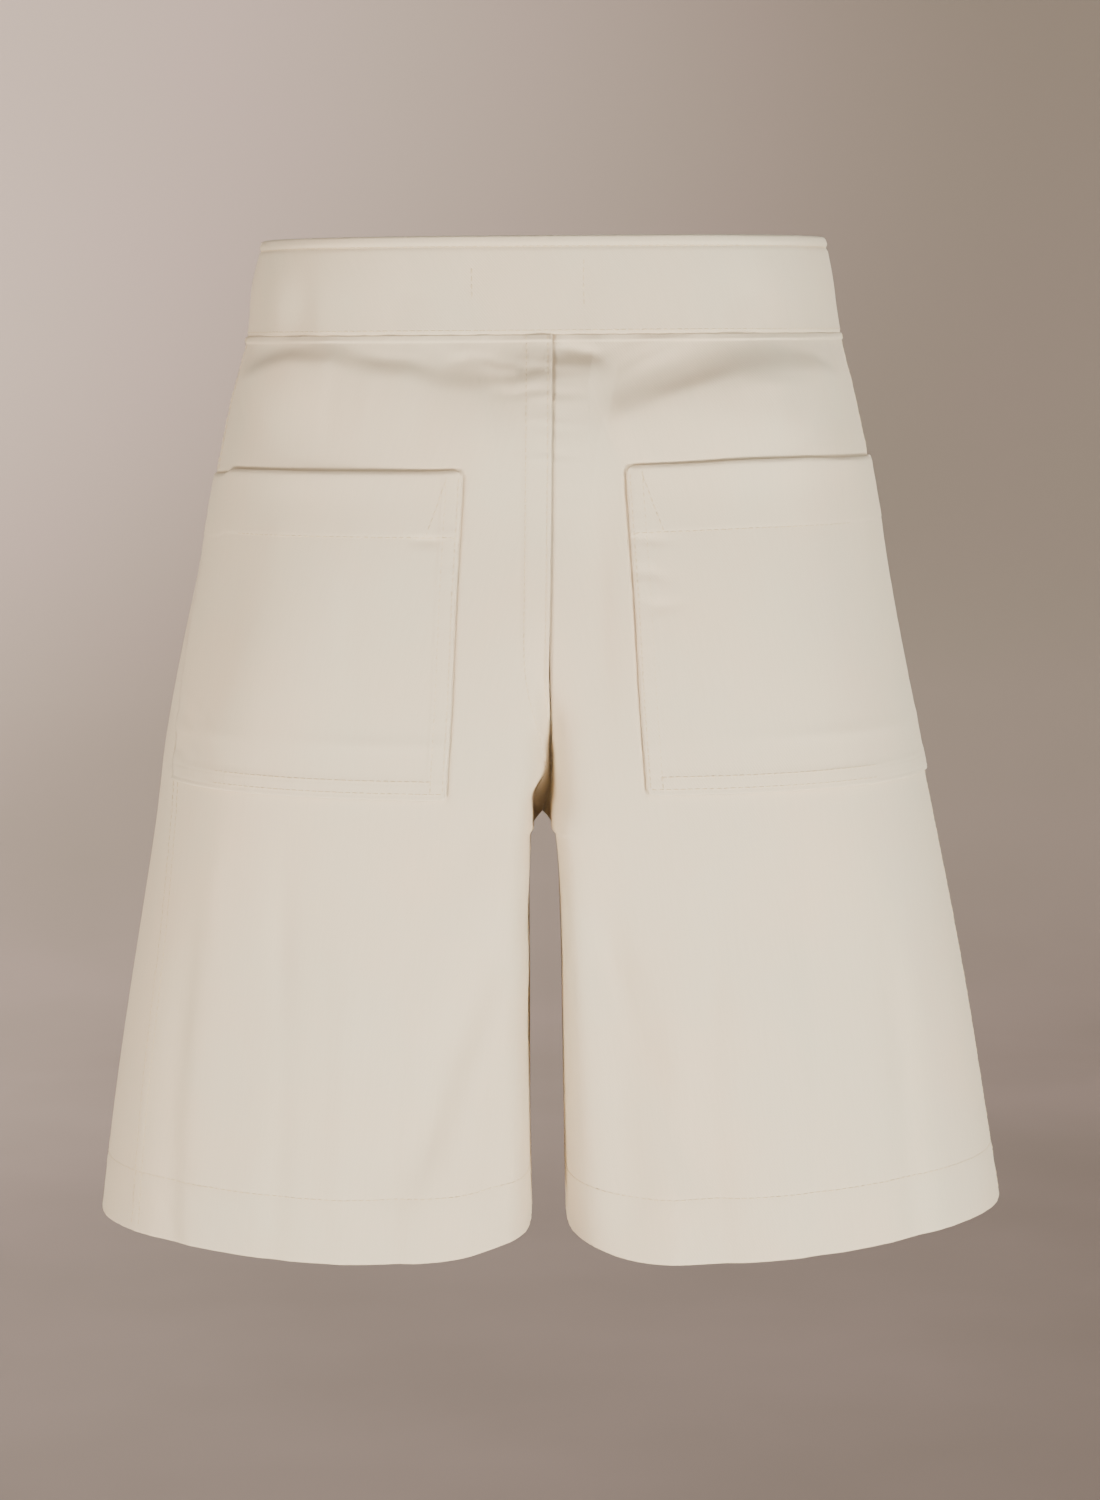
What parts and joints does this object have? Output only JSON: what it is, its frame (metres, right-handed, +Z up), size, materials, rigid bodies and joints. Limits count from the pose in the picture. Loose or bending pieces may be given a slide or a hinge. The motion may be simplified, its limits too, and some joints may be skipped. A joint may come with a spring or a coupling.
{
  "type": "bermuda shorts",
  "caption": "Knee-length straight-leg shorts with a plain waistband, patch seat pockets and a buttoned zip front, filled out hollow as if worn.",
  "frame": {"origin": "middle of the waist opening, half way up the waistband", "axes": "+Z up out of the waist opening, +Y to the garment's front, +X to the wearer's right"},
  "size_m": [0.4629, 0.2218, 0.5004],
  "materials": {
    "twill": "matt off-white cotton twill",
    "zip_tape": "matt woven tape with a closed chain",
    "button": "satin moulded resin"
  },
  "bodies": {
    "root": {"back_left": "twill", "back_right": "twill", "front_left": "twill", "front_right": "twill", "waistband": "twill", "pocket_left": "twill", "pocket_right": "twill", "fly_shield": "twill", "fly_zip": "zip_tape", "waist_button": "button"}
  },
  "joints": []
}
